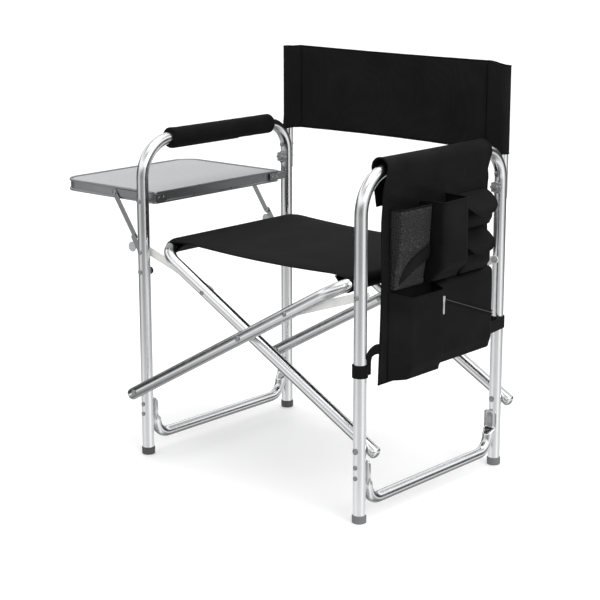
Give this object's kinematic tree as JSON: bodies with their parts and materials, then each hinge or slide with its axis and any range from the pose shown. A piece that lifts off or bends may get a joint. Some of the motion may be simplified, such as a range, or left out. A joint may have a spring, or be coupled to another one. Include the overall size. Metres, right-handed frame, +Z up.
{
  "type": "folding chair",
  "caption": "Folding director chair with tubular frames, sling seat and back, foam arms, a drop-leaf side table and a hanging organiser bag.",
  "frame": {"origin": "on the ground under the middle of the whole outline, with the side table open", "axes": "+Z up, -Y the front of the chair, +X towards the bag side, -X towards the side table"},
  "size_m": [0.9527, 0.5084, 0.834],
  "materials": {
    "aluminium_tube": "polished tube",
    "bright_steel": "zinc plated",
    "black_fabric": "coarse woven",
    "black_foam": "matt foam sleeve",
    "grey_plastic": "moulded",
    "black_plastic": "moulded",
    "white_plastic": "moulded",
    "grey_laminate": "pale grey laminate"
  },
  "bodies": {
    "left_frame": {"left_side_tube": "aluminium_tube", "left_front_foot": "grey_plastic", "left_rear_foot": "grey_plastic", "left_lower_stretcher": "aluminium_tube", "left_front_stretcher_rivets": "bright_steel", "left_rear_stretcher_rivets": "bright_steel", "left_front_lower_pivot": "bright_steel", "left_rear_lower_pivot": "bright_steel", "left_front_link_bolt": "bright_steel", "left_rear_link_bolt": "bright_steel", "front_brace_leg_bolt": "black_plastic", "rear_brace_leg_bolt": "black_plastic", "left_arm_pad": "black_foam", "left_back_post": "aluminium_tube", "left_post_rivet": "bright_steel", "table_front_pivot": "bright_steel", "table_rear_pivot": "bright_steel", "backrest_fabric": "black_fabric"},
    "left_knob": {"left_star_knob": "bright_steel"},
    "right_seat_frame": {"right_seat_frame_tube": "aluminium_tube", "front_crossing_pivot": "bright_steel", "rear_crossing_pivot": "bright_steel"},
    "left_seat_frame": {"left_seat_frame_tube": "aluminium_tube"},
    "seat": {"seat_fabric": "black_fabric"},
    "right_frame": {"right_side_tube": "aluminium_tube", "right_front_foot": "grey_plastic", "right_rear_foot": "grey_plastic", "right_lower_stretcher": "aluminium_tube", "right_front_stretcher_rivets": "bright_steel", "right_rear_stretcher_rivets": "bright_steel", "right_front_lower_pivot": "bright_steel", "right_rear_lower_pivot": "bright_steel", "right_front_link_bolt": "bright_steel", "right_rear_link_bolt": "bright_steel", "right_arm_pad": "black_foam", "right_back_post": "aluminium_tube", "right_post_rivet": "bright_steel", "bag_panel": "black_fabric", "bag_bottle_pouch": "black_fabric", "bag_mesh_pocket": "black_fabric", "bag_tall_pocket": "black_fabric", "bag_zip_pocket": "black_fabric", "bag_upper_pocket": "black_fabric", "bag_lower_pocket": "black_fabric"},
    "right_knob": {"right_star_knob": "bright_steel"},
    "left_front_link": {"left_front_link_bar": "white_plastic"},
    "left_rear_link": {"left_rear_link_bar": "white_plastic"},
    "right_front_link": {"right_front_link_bar": "white_plastic"},
    "right_rear_link": {"right_rear_link_bar": "white_plastic"},
    "table": {"table_rim": "aluminium_tube", "table_top": "grey_laminate", "table_front_bracket": "bright_steel", "table_rear_bracket": "bright_steel"},
    "front_brace_lower": {"front_brace_lower_bar": "bright_steel"},
    "rear_brace_lower": {"rear_brace_lower_bar": "bright_steel"},
    "front_brace_upper": {"front_brace_upper_bar": "bright_steel"},
    "rear_brace_upper": {"rear_brace_upper_bar": "bright_steel"},
    "upper_flap": {"bag_upper_flap": "black_fabric"},
    "lower_flap": {"bag_lower_flap": "black_fabric"},
    "zip_puller": {"bag_zip_puller": "bright_steel"}
  },
  "joints": [
    {"name": "fold", "type": "hinge", "parent": "left_frame", "child": "right_seat_frame", "pos_m": [-0.1999, -0.239, 0.143], "axis": [0, -1, 0], "range_deg": [0, 48.9], "deforming": ["seat_fabric", "backrest_fabric"]},
    {"name": "crossing", "type": "hinge", "parent": "right_seat_frame", "child": "left_seat_frame", "pos_m": [0.0976, -0.239, 0.31], "axis": [0, -1, 0], "range_deg": [-100.1, 0]},
    {"name": "right_lower_pivot", "type": "hinge", "parent": "left_seat_frame", "child": "right_frame", "pos_m": [0.3951, -0.239, 0.143], "axis": [0, -1, 0], "range_deg": [0, 49]},
    {"name": "seat_swing", "type": "hinge", "parent": "right_seat_frame", "child": "seat", "pos_m": [0.3476, -0.0025, 0.4503], "axis": [0, -1, 0], "range_deg": [-50.1, 0]},
    {"name": "left_front_link_swing", "type": "hinge", "parent": "left_frame", "child": "left_front_link", "pos_m": [-0.1999, -0.212, 0.437], "axis": [0, -1, 0], "range_deg": [0, 93.9]},
    {"name": "left_rear_link_swing", "type": "hinge", "parent": "left_frame", "child": "left_rear_link", "pos_m": [-0.1999, 0.234, 0.437], "axis": [0, -1, 0], "range_deg": [0, 93.9]},
    {"name": "right_front_link_swing", "type": "hinge", "parent": "right_frame", "child": "right_front_link", "pos_m": [0.3951, -0.239, 0.437], "axis": [0, -1, 0], "range_deg": [-93.9, 0]},
    {"name": "right_rear_link_swing", "type": "hinge", "parent": "right_frame", "child": "right_rear_link", "pos_m": [0.3951, 0.207, 0.437], "axis": [0, -1, 0], "range_deg": [-93.9, 0]},
    {"name": "table_fold", "type": "hinge", "parent": "left_frame", "child": "table", "pos_m": [-0.1999, -0.212, 0.543], "axis": [0, -1, 0], "range_deg": [0, 84]},
    {"name": "front_brace_lower_swing", "type": "hinge", "parent": "left_frame", "child": "front_brace_lower", "pos_m": [-0.1999, -0.212, 0.395], "axis": [0, -1, 0], "range_deg": [0, 94.3]},
    {"name": "rear_brace_lower_swing", "type": "hinge", "parent": "left_frame", "child": "rear_brace_lower", "pos_m": [-0.1999, 0.234, 0.395], "axis": [0, -1, 0], "range_deg": [0, 94.3]},
    {"name": "front_brace_upper_swing", "type": "hinge", "parent": "table", "child": "front_brace_upper", "pos_m": [-0.3044, -0.212, 0.546], "axis": [0, -1, 0], "range_deg": [-145.6, 0]},
    {"name": "rear_brace_upper_swing", "type": "hinge", "parent": "table", "child": "rear_brace_upper", "pos_m": [-0.3044, 0.234, 0.546], "axis": [0, -1, 0], "range_deg": [-145.6, 0]},
    {"name": "left_knob_turn", "type": "hinge", "parent": "left_frame", "child": "left_knob", "pos_m": [-0.1999, 0.234, 0.585], "axis": [0, 1, 0], "continuous": true},
    {"name": "right_knob_turn", "type": "hinge", "parent": "right_frame", "child": "right_knob", "pos_m": [0.3951, 0.207, 0.585], "axis": [0, 1, 0], "continuous": true},
    {"name": "upper_flap_lift", "type": "hinge", "parent": "right_frame", "child": "upper_flap", "pos_m": [0.4193, 0.0715, 0.597], "axis": [0, -1, 0], "range_deg": [0, 120]},
    {"name": "lower_flap_lift", "type": "hinge", "parent": "right_frame", "child": "lower_flap", "pos_m": [0.4193, 0.0665, 0.521], "axis": [0, -1, 0], "range_deg": [0, 45]},
    {"name": "zip_slide", "type": "slide", "parent": "right_frame", "child": "zip_puller", "axis": [0, 0.943, -0.3327], "range_m": [0, 0.155]}
  ],
  "couplings": [
    {"joint": "crossing", "follows": "fold", "ratio": -2.045},
    {"joint": "right_lower_pivot", "follows": "fold", "ratio": 1},
    {"joint": "seat_swing", "follows": "fold", "ratio": -1.0225},
    {"joint": "left_front_link_swing", "follows": "fold", "ratio": 1.918},
    {"joint": "left_rear_link_swing", "follows": "fold", "ratio": 1.918},
    {"joint": "right_front_link_swing", "follows": "fold", "ratio": -1.918},
    {"joint": "right_rear_link_swing", "follows": "fold", "ratio": -1.918},
    {"joint": "front_brace_lower_swing", "follows": "table_fold", "ratio": 1.1214},
    {"joint": "rear_brace_lower_swing", "follows": "table_fold", "ratio": 1.1214},
    {"joint": "front_brace_upper_swing", "follows": "table_fold", "ratio": -1.732},
    {"joint": "rear_brace_upper_swing", "follows": "table_fold", "ratio": -1.732}
  ]
}
